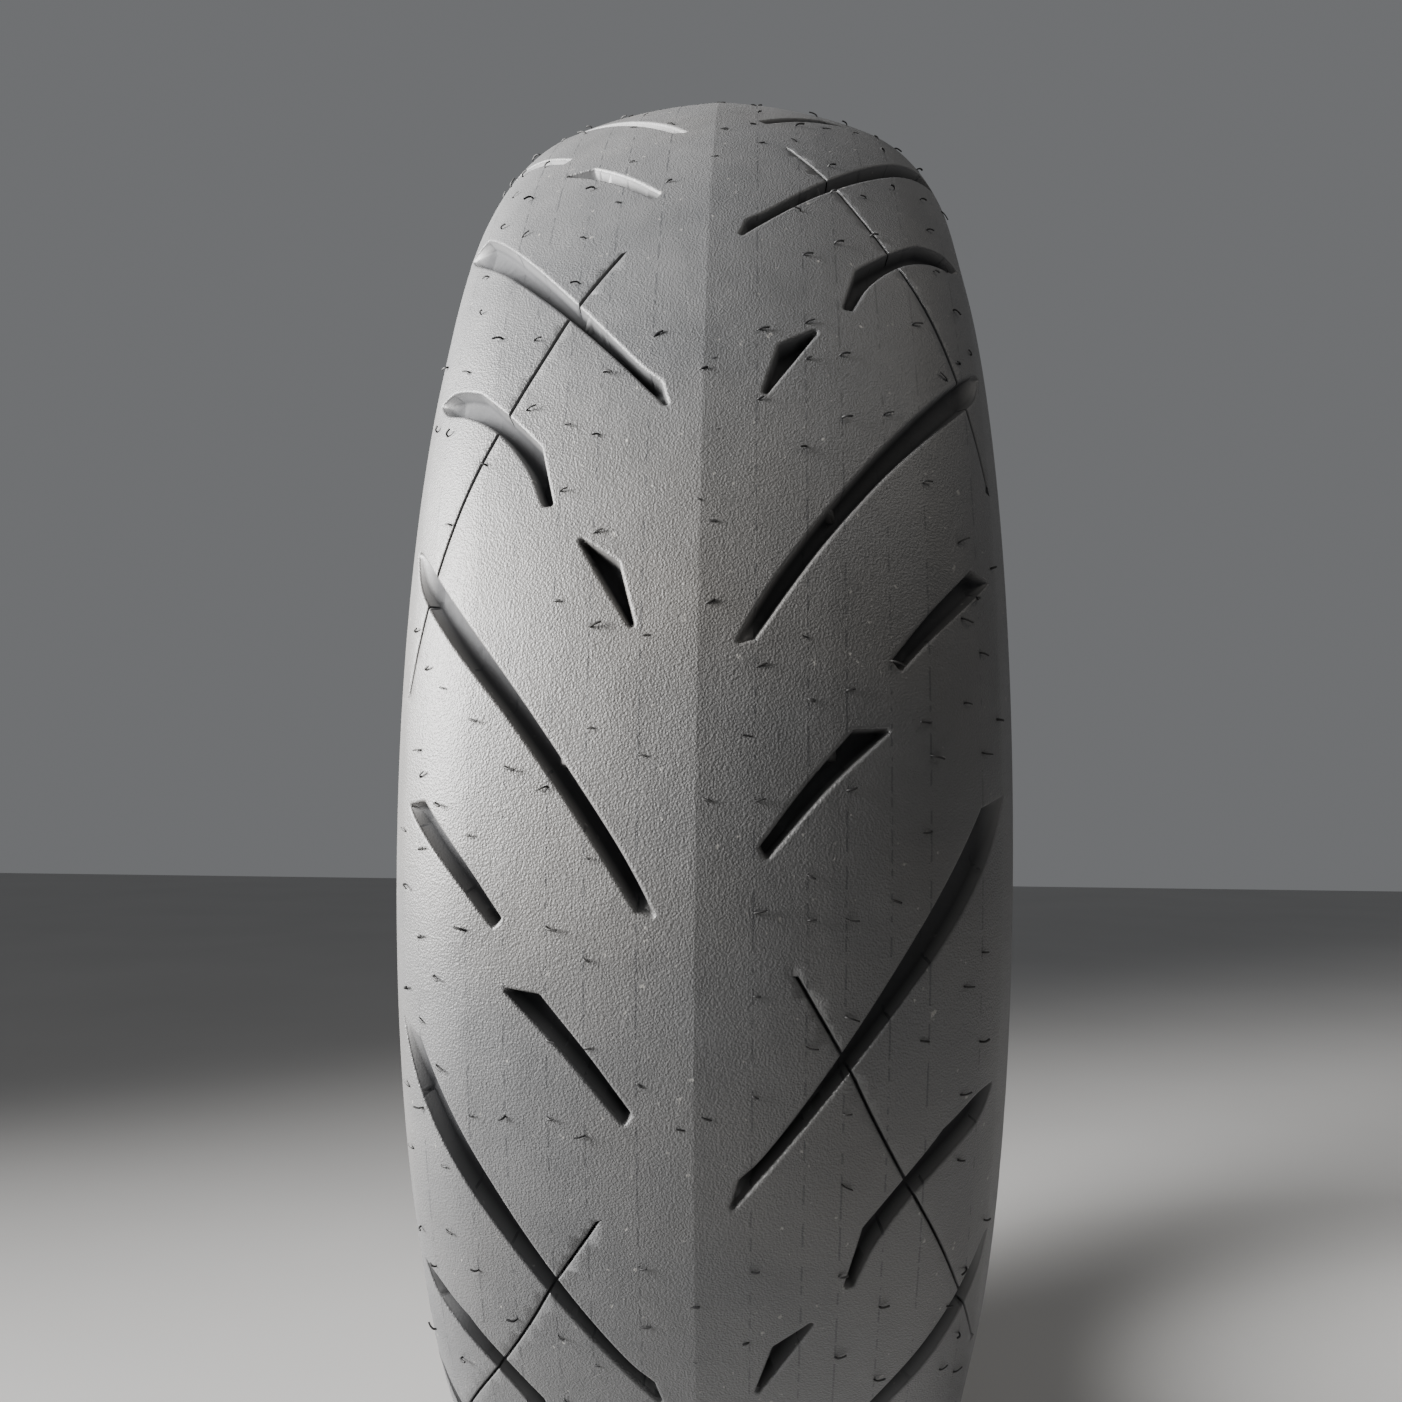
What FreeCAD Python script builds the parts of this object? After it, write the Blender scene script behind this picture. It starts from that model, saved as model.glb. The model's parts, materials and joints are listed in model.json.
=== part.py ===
"""Rear motorcycle tire, 180 mm class on a 17 inch rim, as the layers that it is built from.

Millimetres. The wheel centre is the origin and the tire spins about +Y. A point of the section is
(y, r): y across the tire, r from the spin axis. The tire rolls towards +X, so its left side is +Y.
"""
import FreeCAD, Part
import math
import os

os.makedirs("parts", exist_ok=True)
V = FreeCAD.Vector
AXIS = V(0, 1, 0)

# ---- overall sizes
BEAD_SEAT_RADIUS = 215.9      # half of the 17 inch nominal rim diameter
SECTION_HEIGHT = 99.1         # bead seat to crown
SECTION_WIDTH = 177.0         # across the tread at its widest
WIDEST_HEIGHT = 45.0          # bead seat to the tread's widest circle
CARCASS_WIDEST_HEIGHT = 46.1  # bead seat to the carcass's widest circle
RIM_WIDTH = 139.7             # bead heel to bead heel, a 5.5 inch rim

# ---- gauges through the crown, from the inside out
LINER_THICKNESS = 1.0
PLY_THICKNESS = 0.9
BREAKER_THICKNESS = 0.6
BELT_THICKNESS = 1.0
BASE_THICKNESS = 0.9
CROWN_THICKNESS = 13.5        # whole wall at the crown
SHOULDER_THICKNESS = 8.4      # whole wall at the widest circle
SIDEWALL_THICKNESS = 7.0

# ---- section shape
CROWN_ARC_ANGLE = 20.0        # half angle of the flatter crown arc
TREAD_EDGE_ANGLE = 80.0       # where the tread ends and the sidewall starts
COMPOUND_SPLIT_ANGLE = 11.5   # where the centre compound meets the shoulder compound
SIDEWALL_BEND_RATIO = 1.15    # bulge radius over bead bend radius
BEAD_FACE_ANGLE = 25.0        # lean of the bead's inner face
BEAD_FACE_LENGTH = 4.0        # straight inner face above the core
FLANGE_FILLET = 12.0          # hollow that clears the rim flange
HEEL_RADIUS = 5.0
TOE_CHAMFER = 1.2
RIM_LINE_WIDTH = 1.8          # raised circle that shows the bead is seated
RIM_LINE_HEIGHT = 0.8
RIM_LINE_ANGLE = 122.0

# ---- belt and breaker
BELT_EDGE_ANGLE = 56.0
BREAKER_EDGE_ANGLE = 61.0
BASE_EDGE_ANGLE = 66.0
BELT_STRIP_WIDTH = 6.0        # one turn of the wound strip with its gap
BELT_STRIP_GAP = 0.3

# ---- bead
WIRE_DIAMETER = 2.5
WIRE_GAP = 0.05
WIRE_RINGS = 1                # hexagonal rings of wires about the middle one
WIRE_COVER = 0.2              # wrap rubber over the outermost wires, inside the wound wrap
WRAP_THICKNESS = 0.6
CHAFER_DEPTH = 1.6            # rubber outside the chafer
CHAFER_THICKNESS = 0.6
CHAFER_HEIGHT = 10.5          # bead seat to the chafer's upper edge
CORE_CLEARANCE = 0.5          # rubber between the chafer and the ply under the core
CORE_INBOARD = 2.0            # extra rubber between the chafer and the ply beside the core
APEX_HEIGHT = 26.0            # bead seat to the filler's tip
TURN_UP_STOP = 1.5            # the ply turn-up ends this far short of the filler's tip
PLY_END_GAP = 2.0             # the outer ply ends this far above the filler's tip
LINER_END_HEIGHT = 4.5        # the liner ends this far above the bead seat
CUSHION_HEIGHT = 19.0         # bead seat to the top of the rim cushion

# ---- tread pattern, one repeat; s is across from the centre line, t along it
PATTERN_REPEATS = 7
LEFT_PHASE = -19.2            # degrees, inner tip of the first long groove
RIGHT_PHASE = -31.7
GROOVE_DEPTH = 6.2            # at the crown
GROOVE_EDGE_DEPTH = 2.8       # at the tread's edge
SIPE_DEPTH = 2.6
SIPE_WIDTH = 0.9
PATTERN_CLEAR = 1.5           # cutters stand this far out of the tread

# An outline is a closed loop of edges. (s, t) is a corner; a third and a fourth number give the
# point that the edge leaving that corner passes through, so the edge is then an arc.
GROOVES = {
    "long_with_sipe": (24.0, [(10.0, 0.0, 60.0, 61.8), (89.0, 106.0), (79.5, 103.0, 45.0, 50.2),
                              (13.0, 8.4)]),
    "long": (24.0, [(10.8, 145.4, 52.0, 199.7), (85.5, 236.2), (89.3, 250.0, 57.0, 214.9),
                    (15.0, 154.2), (11.2, 148.2)]),
    "shoulder_hook": (38.0, [(40.4, 255.6, 57.8, 280.4), (86.5, 305.0, 78.0, 302.4), (67.8, 298.2),
                             (45.0, 271.6)]),
    "inner_hook": (8.0, [(16.8, 219.6), (31.0, 242.0), (21.3, 235.3)]),
    "inner_wedge": (11.0, [(17.6, 91.6, 33.2, 108.6), (49.0, 123.4), (40.2, 122.6), (16.7, 93.2)]),
    "shoulder_wedge": (38.0, [(52.8, 140.6), (84.2, 171.0), (77.0, 171.8), (51.4, 142.2)]),
}
SIPE = (24.0, [(25.5, 61.2), (60.0, -6.0), (87.8, -77.0)])


# ---------------------------------------------------------------- section paths
def normal(phi):
    """Unit vector in the section, phi degrees from straight out towards +y."""
    return math.sin(math.radians(phi)), math.cos(math.radians(phi))


class Path:
    """Arcs and lines from the crown outwards, each with its length, so that it can be offset exactly.

    An arc is (cy, cr, rho, phi0, phi1): a point is its centre plus rho along normal(phi).
    A line is (y, r, phi, length), running square to normal(phi), towards the bead.
    """

    def __init__(self, pieces):
        self.pieces = pieces

    def lengths(self):
        return [abs(math.radians(p[4] - p[3]) * p[2]) if len(p) == 5 else p[3] for p in self.pieces]

    def length(self):
        return sum(self.lengths())

    def at_piece(self, piece, share, offset):
        if len(piece) == 5:
            cy, cr, rho, phi0, phi1 = piece
            phi = phi0 + share * (phi1 - phi0)
            ny, nr = normal(phi)
            return cy + (rho + offset) * ny, cr + (rho + offset) * nr, phi
        y, r, phi, length = piece
        ny, nr = normal(phi)
        return y + share * length * nr + offset * ny, r - share * length * ny + offset * nr, phi

    def at(self, s, offset=0.0):
        """(y, r, phi) at length s from the path's start, that far off it."""
        for piece, length in zip(self.pieces, self.lengths()):
            if s <= length:
                return self.at_piece(piece, s / length, offset)
            s -= length
        return self.at_piece(self.pieces[-1], 1.0 + s / length, offset)

    def edges(self, s0, s1, offset=0.0):
        """Edges from length s0 to s1, that far off the path."""
        made, start = [], 0.0
        for piece, length in zip(self.pieces, self.lengths()):
            a = max(0.0, (s0 - start) / length)
            b = min(1.0, (s1 - start) / length)
            start += length
            if b - a < 1e-9:
                continue
            shares = (a, (a + b) / 2, b)
            p, m, q = (section_point(*self.at_piece(piece, x, offset)[:2]) for x in shares)
            curve = Part.Arc(p, m, q) if len(piece) == 5 else Part.LineSegment(p, q)
            made.append(curve.toShape())
        return made

    def station(self, phi):
        """The length at which the outward normal first reaches phi degrees."""
        start = 0.0
        for piece, length in zip(self.pieces, self.lengths()):
            if len(piece) == 5 and piece[3] <= phi <= piece[4]:
                return start + length * (phi - piece[3]) / (piece[4] - piece[3])
            start += length
        raise ValueError(f"no station at {phi} degrees")

    def station_at_height(self, r, offset=0.0):
        """The last length at which the path is r from the spin axis."""
        low, high = self.station(90.0 - 1e-6), self.length()
        for _ in range(60):
            middle = (low + high) / 2
            if self.at(middle, offset)[1] > r:
                low = middle
            else:
                high = middle
        return low


def section_point(y, r):
    return V(0, y, r)


def crown_arcs(crown_radius, half_width, widest_radius, end_angle=90.0):
    """A crown arc and a tangent shoulder arc, from the centre line round to the widest circle."""
    ny, nr = normal(CROWN_ARC_ANGLE)
    drop = crown_radius - widest_radius
    # half_width = big * ny + small * (1 - ny) and drop = big * (1 - nr) + small * nr
    small = (drop * ny - half_width * (1 - nr)) / (nr * ny - (1 - ny) * (1 - nr))
    big = (half_width - small * (1 - ny)) / ny
    return [
        (0.0, crown_radius - big, big, 0.0, CROWN_ARC_ANGLE),
        (half_width - small, widest_radius, small, CROWN_ARC_ANGLE, end_angle),
    ]


def bead_bend(dy, dr):
    """(bulge radius, bend radius, angle) of the two tangent arcs from the widest circle to the bead."""
    sin_b, cos_b = normal(BEAD_FACE_ANGLE)
    k = SIDEWALL_BEND_RATIO
    low, high = BEAD_FACE_ANGLE, 150.0
    for _ in range(60):
        angle = (low + high) / 2
        sin_a, cos_a = normal(angle)
        across = k * (1 - cos_a) + cos_b - cos_a
        down = k * sin_a + sin_a - sin_b
        if across * dr < dy * down:
            low = angle
        else:
            high = angle
    bend = dy / across
    return k * bend, bend, angle


# ---- places that follow from the sizes
CROWN_RADIUS = BEAD_SEAT_RADIUS + SECTION_HEIGHT
WIDEST_RADIUS = BEAD_SEAT_RADIUS + WIDEST_HEIGHT
CARCASS_WIDEST_RADIUS = BEAD_SEAT_RADIUS + CARCASS_WIDEST_HEIGHT
HALF_WIDTH = SECTION_WIDTH / 2
CARCASS_HALF_WIDTH = HALF_WIDTH - SHOULDER_THICKNESS
HEEL_Y = RIM_WIDTH / 2
PLY_1 = LINER_THICKNESS                   # offsets from the carcass path to the start of each layer
PLY_2 = PLY_1 + PLY_THICKNESS
BREAKER = PLY_2 + PLY_THICKNESS
BELT = BREAKER + BREAKER_THICKNESS
BASE = BELT + BELT_THICKNESS
CAP = BASE + BASE_THICKNESS
WIRE_PITCH = WIRE_DIAMETER + WIRE_GAP
WRAP_RADIUS = WIRE_RINGS * WIRE_PITCH + WIRE_DIAMETER / 2 + WIRE_COVER + WRAP_THICKNESS
PLY_WRAP_RADIUS = WRAP_RADIUS + PLY_THICKNESS
CORE_INSET = CHAFER_DEPTH + CHAFER_THICKNESS + CORE_CLEARANCE + PLY_WRAP_RADIUS
CORE_Y = HEEL_Y - CORE_INSET - CORE_INBOARD
CORE_R = BEAD_SEAT_RADIUS + CORE_INSET

TREAD = Path(crown_arcs(CROWN_RADIUS, HALF_WIDTH, WIDEST_RADIUS, TREAD_EDGE_ANGLE))
FLOOR = Path(crown_arcs(CROWN_RADIUS - GROOVE_DEPTH, HALF_WIDTH - GROOVE_EDGE_DEPTH, WIDEST_RADIUS,
                        TREAD_EDGE_ANGLE))


def carcass_path():
    """The inside of the liner, from the crown over the shoulder and the sidewall to the bead toe."""
    arcs = crown_arcs(CROWN_RADIUS - CROWN_THICKNESS, CARCASS_HALF_WIDTH, CARCASS_WIDEST_RADIUS)
    sin_b, cos_b = normal(BEAD_FACE_ANGLE)
    tangent = PLY_WRAP_RADIUS + LINER_THICKNESS
    touch_y, touch_r = CORE_Y - tangent * cos_b, CORE_R + tangent * sin_b
    top_y, top_r = touch_y + BEAD_FACE_LENGTH * sin_b, touch_r + BEAD_FACE_LENGTH * cos_b
    bulge, bend, angle = bead_bend(CARCASS_HALF_WIDTH - top_y, CARCASS_WIDEST_RADIUS - top_r)
    centre_y = CARCASS_HALF_WIDTH - bulge
    ny, nr = normal(90 + angle)
    bend_y, bend_r = centre_y + (bulge + bend) * ny, CARCASS_WIDEST_RADIUS + (bulge + bend) * nr
    face = (top_r - BEAD_SEAT_RADIUS) / cos_b
    return Path(arcs + [
        (centre_y, CARCASS_WIDEST_RADIUS, bulge, 90.0, 90.0 + angle),
        (bend_y, bend_r, -bend, 90.0 + angle, 90.0 + BEAD_FACE_ANGLE),
        (top_y, top_r, 90.0 + BEAD_FACE_ANGLE, face),
    ])


CARCASS = carcass_path()
TOE_STATION = CARCASS.length()
CORE_STATION = TOE_STATION - (CARCASS.pieces[-1][3] - BEAD_FACE_LENGTH)
APEX_STATION = CARCASS.station_at_height(BEAD_SEAT_RADIUS + APEX_HEIGHT, PLY_2)


def flange_path():
    """The outside of the bead, from the rim flange hollow down its face, round the heel, to the toe."""
    cy, cr, bulge, _, _ = CARCASS.pieces[2]
    reach = bulge + SIDEWALL_THICKNESS + FLANGE_FILLET
    leave = math.degrees(math.acos((HEEL_Y + FLANGE_FILLET - cy) / reach))
    ny, nr = normal(90 + leave)
    hollow_y, hollow_r = cy + reach * ny, cr + reach * nr
    face = hollow_r - BEAD_SEAT_RADIUS - HEEL_RADIUS
    toe_y = CARCASS.at(TOE_STATION)[0]
    seat = HEEL_Y - HEEL_RADIUS - toe_y - TOE_CHAMFER
    return leave, Path([
        (hollow_y, hollow_r, -FLANGE_FILLET, 90.0 + leave, 90.0),
        (HEEL_Y, hollow_r, 90.0, face),
        (HEEL_Y - HEEL_RADIUS, BEAD_SEAT_RADIUS + HEEL_RADIUS, HEEL_RADIUS, 90.0, 180.0),
        (HEEL_Y - HEEL_RADIUS, BEAD_SEAT_RADIUS, 180.0, seat),
    ])


LEAVE_ANGLE, FLANGE = flange_path()
SEAT_LENGTH = FLANGE.pieces[-1][3]


# ---------------------------------------------------------------- faces of the section
def mirrored(shape):
    return shape.mirror(V(0, 0, 0), AXIS)


def line(a, b):
    return Part.LineSegment(a, b).toShape()


def face_of(edges):
    return Part.Face(Part.Wire(Part.__sortEdges__(edges)))


def polygon(points):
    return Part.Face(Part.makePolygon([section_point(*p) for p in points + points[:1]]))


def disc(y, r, radius):
    return Part.Face(Part.Wire(Part.makeCircle(radius, section_point(y, r), V(1, 0, 0))))


def strip(path, s0, s1, inner, outer):
    """The layer between two offsets of a path, on the +y side."""
    ends = [[section_point(*path.at(s, d)[:2]) for d in (inner, outer)] for s in (s0, s1)]
    edges = path.edges(s0, s1, inner) + path.edges(s0, s1, outer)
    return face_of(edges + [line(*ends[0]), line(*ends[1])])


def across(path, s1, inner, outer, bands=1):
    """The same layer over the crown, from -s1 to s1, its outer side in that many bands a side."""
    edges = []
    for offset, count in ((inner, 1), (outer, bands)):
        stops = [s1 * i / count for i in range(count + 1)]
        half = [e for a, b in zip(stops, stops[1:]) for e in path.edges(a, b, offset)]
        edges += half + [mirrored(e) for e in half]
    end = line(*[section_point(*path.at(s1, d)[:2]) for d in (inner, outer)])
    return face_of(edges + [end, mirrored(end)])


def rim_line_edge(station):
    """The raised rim line, an arc standing on the sidewall."""
    places = ((-RIM_LINE_WIDTH / 2, 0.0), (0.0, RIM_LINE_HEIGHT), (RIM_LINE_WIDTH / 2, 0.0))
    points = [CARCASS.at(station + ds, SIDEWALL_THICKNESS + rise)[:2] for ds, rise in places]
    return Part.Arc(*[section_point(*p) for p in points]).toShape()


def whole_section():
    """The outline of the whole wall, from bead to bead."""
    edge_y, edge_r, _ = TREAD.at(TREAD.length())
    side_start = CARCASS.station(TREAD_EDGE_ANGLE)
    side_end = CARCASS.station(90.0 + LEAVE_ANGLE)
    toe_y = CARCASS.at(TOE_STATION)[0]
    chamfer_station = TOE_STATION - TOE_CHAMFER
    ledge_foot = section_point(*CARCASS.at(side_start, SIDEWALL_THICKNESS)[:2])
    half = TREAD.edges(0.0, TREAD.length())
    half.append(line(section_point(edge_y, edge_r), ledge_foot))
    rim_line = CARCASS.station(RIM_LINE_ANGLE)
    half += CARCASS.edges(side_start, rim_line - RIM_LINE_WIDTH / 2, SIDEWALL_THICKNESS)
    half.append(rim_line_edge(rim_line))
    half += CARCASS.edges(rim_line + RIM_LINE_WIDTH / 2, side_end, SIDEWALL_THICKNESS)
    half += FLANGE.edges(0.0, FLANGE.length())
    half.append(line(section_point(toe_y + TOE_CHAMFER, BEAD_SEAT_RADIUS),
                     section_point(*CARCASS.at(chamfer_station)[:2])))
    half += CARCASS.edges(0.0, chamfer_station)
    return face_of(half + [mirrored(e) for e in half])


def wing_line(reach):
    """Two points of the line between tread and sidewall, that far past each side of the wall."""
    y, r, phi = TREAD.at(TREAD.length())
    inner = CARCASS.at(CARCASS.station(TREAD_EDGE_ANGLE + 5.0))
    dy, dr = inner[0] - y, inner[1] - r
    size = math.hypot(dy, dr)
    return (y - dy / size * reach, r - dr / size * reach), (inner[0] + dy / size, inner[1] + dr / size)


def zones():
    """Polygons that share what the inner pieces leave: centre cap, shoulder cap, sidewall, cushion."""
    far = 3 * SECTION_WIDTH
    centre = (0.0, TREAD.pieces[0][1])
    ny, nr = normal(COMPOUND_SPLIT_ANGLE)
    split = (centre[0] + far * ny, centre[1] + far * nr)
    wing_out, wing_in = wing_line(far)
    level = BEAD_SEAT_RADIUS + CUSHION_HEIGHT
    hub = (0.0, level)
    return {
        "centre": polygon([centre, (-split[0], split[1]), split]),
        "shoulder": polygon([centre, split, wing_out, wing_in]),
        "side": polygon([hub, wing_in, wing_out, (far, level)]),
        "bead": polygon([hub, (far, level), (far, 0.0), (0.0, 0.0)]),
    }


def turn_up():
    """(lean of the turned-up ply, its length) from the wrap round the core to the filler's tip."""
    tip_y, tip_r, _ = CARCASS.at(APEX_STATION, PLY_2)
    dy, dr = tip_y - CORE_Y, tip_r - CORE_R
    distance = math.hypot(dy, dr)
    lean = math.degrees(math.atan2(dy, dr) - math.asin(WRAP_RADIUS / distance))
    return lean, math.sqrt(distance ** 2 - WRAP_RADIUS ** 2)


def inner_ply_face():
    """The inner ply, from side to side: down to each core, round it and up the outside of the filler."""
    lean, length = turn_up()
    start, end = BEAD_FACE_ANGLE - 90.0, 90.0 + lean
    climb = V(0, *normal(lean)) * (length - TURN_UP_STOP)
    half, tops = [], []
    for radius, offset in ((PLY_WRAP_RADIUS, PLY_1), (WRAP_RADIUS, PLY_2)):
        a, m, b = (around_core(radius, phi) for phi in (start, (start + end - 360.0) / 2, end))
        half += CARCASS.edges(0.0, CORE_STATION, offset) + [Part.Arc(a, m, b).toShape(), line(b, b + climb)]
        tops.append(b + climb)
    half.append(line(*tops))
    return face_of(half + [mirrored(e) for e in half])


def around_core(radius, phi):
    """A point on a circle about the bead core."""
    ny, nr = normal(phi)
    return section_point(CORE_Y + radius * ny, CORE_R + radius * nr)


def filler_face():
    """The hard rubber wedge between the ply and its turn-up, standing on the core."""
    lean, _ = turn_up()
    core = section_point(CORE_Y, CORE_R)
    outer = around_core(WRAP_RADIUS, 90.0 + lean)
    inner = section_point(*CARCASS.at(CORE_STATION, PLY_2)[:2])
    tip = section_point(*CARCASS.at(APEX_STATION, PLY_2)[:2])
    edges = [line(core, outer), line(outer, tip), line(inner, core)]
    wedge = face_of(edges + CARCASS.edges(APEX_STATION, CORE_STATION, PLY_2))
    return wedge.cut(disc(CORE_Y, CORE_R, WRAP_RADIUS))


def wire_places():
    """Hexagonal packing of the bead wires about the core's middle."""
    places = []
    for row in range(-WIRE_RINGS, WIRE_RINGS + 1):
        count = 2 * WIRE_RINGS + 1 - abs(row)
        for i in range(count):
            places.append((CORE_Y + (i - (count - 1) / 2) * WIRE_PITCH,
                           CORE_R + row * WIRE_PITCH * math.sqrt(3) / 2))
    return places


def belt_faces():
    """The turns of the wound belt strip, side by side over the crown."""
    half = CARCASS.station(BELT_EDGE_ANGLE)
    turns = max(2, 2 * int(half / BELT_STRIP_WIDTH))
    width = 2 * half / turns
    half_gap = BELT_STRIP_GAP / 2
    right = [strip(CARCASS, i * width + half_gap, (i + 1) * width - half_gap, BELT, BASE)
             for i in range(turns // 2)]
    return [mirrored(f) for f in reversed(right)] + right


# ---------------------------------------------------------------- solids
def spun(face):
    """The solids that a face, or the faces of a shape, sweep about the spin axis."""
    return [s for f in face.Faces for s in f.revolve(V(0, 0, 0), AXIS, 360.0).Solids]


def tread_point(s, t, side, phase):
    """(point, normal angle, turn angle) on the tread surface, s across and t along, in degrees."""
    y, r, phi = TREAD.at(s)
    turn = phase + math.degrees(t / CROWN_RADIUS)
    a = math.radians(turn)
    return V(r * math.cos(a), side * y, r * math.sin(a)), phi, turn


def arc_through(a, m, b, share):
    """A point of the arc from a through m to b, in the flat pattern."""
    arc = Part.Arc(V(a[0], a[1], 0), V(m[0], m[1], 0), V(b[0], b[1], 0))
    p = arc.value(arc.FirstParameter + share * (arc.LastParameter - arc.FirstParameter))
    return p.x, p.y


def prism(loop_edges, lean, side, phase):
    """A straight cutter whose walls lean by that angle and which meets the tread along the outline.

    loop_edges is a list of edges, each a list of (s, t) points from corner to corner.
    """
    middle_t = sum(e[0][1] for e in loop_edges) / len(loop_edges)
    turn = math.radians(phase + math.degrees(middle_t / CROWN_RADIUS))
    ny, nr = normal(lean)
    way = V(nr * math.cos(turn), side * ny, nr * math.sin(turn))
    base = way * (CROWN_RADIUS * nr - SECTION_HEIGHT / 2)
    edges = []
    for points in loop_edges:
        flat = []
        for s, t in points:
            p, _, _ = tread_point(s, t, side, phase)
            flat.append(p - way * ((p - base).dot(way)))
        if len(flat) == 2:
            edges.append(Part.LineSegment(*flat).toShape())
        else:
            curve = Part.BSplineCurve()
            curve.interpolate(flat)
            edges.append(curve.toShape())
    return Part.Face(Part.Wire(edges)).extrude(way * SECTION_HEIGHT)


def sampled(corner, following):
    """Points of the edge that leaves a corner. Straight edges are sampled too: the tread is round."""
    shares = [i / 6 for i in range(7)]
    if len(corner) == 4:
        return [arc_through(corner, corner[2:], following, x) for x in shares]
    a, b = corner[:2], following[:2]
    return [(a[0] + x * (b[0] - a[0]), a[1] + x * (b[1] - a[1])) for x in shares]


def groove_cutter(name, side, phase):
    lean, corners = GROOVES[name]
    edges = [sampled(c, corners[(i + 1) % len(corners)]) for i, c in enumerate(corners)]
    return prism(edges, lean, side, phase)


def sipe_cutter(side, phase):
    lean, (a, m, b) = SIPE
    line_points = [arc_through(a, m, b, i / 8) for i in range(9)]
    half = SIPE_WIDTH / 2
    run = (b[0] - a[0], b[1] - a[1])
    shift = (-run[1] / math.hypot(*run) * half, run[0] / math.hypot(*run) * half)
    one = [(s + shift[0], t + shift[1]) for s, t in line_points]
    other = [(s - shift[0], t - shift[1]) for s, t in reversed(line_points)]
    return prism([one, [one[-1], other[0]], other, [other[-1], one[0]]], lean, side, phase)


def ring_above(lower, offset):
    """The space from an offset of a path out to a little beyond the tread."""
    low = lower.edges(0.0, lower.length(), offset)
    high = TREAD.edges(0.0, TREAD.length(), PATTERN_CLEAR)
    end = line(section_point(*lower.at(lower.length(), offset)[:2]),
               section_point(*TREAD.at(TREAD.length(), PATTERN_CLEAR)[:2]))
    half = low + high + [end]
    return spun(face_of(half + [mirrored(e) for e in half]))[0]


def pattern_cutters():
    """Every groove and sipe of the tread, each cut to its depth."""
    groove_ring = ring_above(FLOOR, 0.0)
    sipe_ring = ring_above(TREAD, -SIPE_DEPTH)
    grooves, sipes = [], []
    for side, phase in ((1, LEFT_PHASE), (-1, RIGHT_PHASE)):
        shapes = [groove_cutter(name, side, phase).common(groove_ring) for name in GROOVES]
        cut = sipe_cutter(side, phase).common(sipe_ring)
        for k in range(PATTERN_REPEATS):
            turn = -360.0 / PATTERN_REPEATS * k
            for shape in shapes:
                grooves.append(turned(shape, turn))
            sipes.append(turned(cut, turn))
    return grooves, sipes


def turned(shape, degrees):
    copy = shape.copy()
    copy.rotate(V(0, 0, 0), AXIS, degrees)
    return copy


def cut_near(solids, cutters):
    """The solids less every cutter that comes near them."""
    made = []
    for solid in solids:
        near = [c for c in cutters if c.BoundBox.intersect(solid.BoundBox)]
        made += solid.cut(near).Solids if near else [solid]
    return made


def export(name, solids):
    shape = solids[0] if len(solids) == 1 else Part.makeCompound(solids)
    shape.exportStep(f"parts/{name}.step")
    volume = sum(s.Volume for s in solids)
    valid = all(s.isValid() for s in solids)
    print(f"{name}: {len(solids)} solids, {volume / 1000:.1f} cm3, valid {valid}")


def build():
    section = whole_section()
    zone = zones()
    belts = belt_faces()
    breaker = across(CARCASS, CARCASS.station(BREAKER_EDGE_ANGLE), BREAKER, BELT)
    base_end = CARCASS.station(BASE_EDGE_ANGLE)
    base_bands = round(base_end / BELT_STRIP_WIDTH)
    base = across(CARCASS, base_end, BREAKER, CAP, base_bands).cut(breaker).cut(belts)
    liner_end = CARCASS.station_at_height(BEAD_SEAT_RADIUS + LINER_END_HEIGHT)
    liner = across(CARCASS, liner_end, 0.0, PLY_1)
    inner_ply = inner_ply_face()
    outer_ply = across(CARCASS, APEX_STATION - PLY_END_GAP, PLY_2, BREAKER)
    filler = filler_face()
    core = disc(CORE_Y, CORE_R, WRAP_RADIUS)
    wires = [disc(y, r, WIRE_DIAMETER / 2) for y, r in wire_places()]
    chafer_start = FLANGE.lengths()[0] + max(0.0, FLANGE.lengths()[1] - (CHAFER_HEIGHT - HEEL_RADIUS))
    chafer = strip(FLANGE, chafer_start, FLANGE.length(), -CHAFER_DEPTH - CHAFER_THICKNESS, -CHAFER_DEPTH)
    sided = [filler, core, chafer]
    inside = [liner, inner_ply, outer_ply, base, breaker, *belts, *sided, *[mirrored(f) for f in sided]]
    rest = section.cut(inside)

    grooves, sipes = pattern_cutters()
    centre_cap = spun(rest.common(zone["centre"]))
    shoulder_cap = spun(rest.common(zone["shoulder"]))
    export("tread_cap_centre", cut_near(cut_near(centre_cap, grooves), sipes))
    export("tread_cap_left", cut_near(cut_near(shoulder_cap, grooves), sipes))
    right_cap = [mirrored(s) for s in shoulder_cap]
    export("tread_cap_right", cut_near(cut_near(right_cap, grooves), sipes))
    export("tread_base", spun(base))
    export("spiral_belt", [s for f in belts for s in spun(f)])
    export("breaker_ply", spun(breaker))
    export("carcass_ply_outer", spun(outer_ply))
    export("carcass_ply_inner", spun(inner_ply))
    export("inner_liner", spun(liner))
    for name, face in (("sidewall", rest.common(zone["side"])), ("rim_cushion", rest.common(zone["bead"])),
                       ("bead_filler", filler), ("chafer", chafer), ("bead_wrap", core.cut(wires))):
        export(f"{name}_left", spun(face))
        export(f"{name}_right", [mirrored(s) for s in spun(face)])
    strands = [s for w in wires for s in spun(w)]
    export("bead_wires_left", strands)
    export("bead_wires_right", [mirrored(s) for s in strands])
    print(f"seat length {SEAT_LENGTH:.2f}, seat middle y {HEEL_Y - HEEL_RADIUS - SEAT_LENGTH / 2:.2f}")


build()
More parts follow.
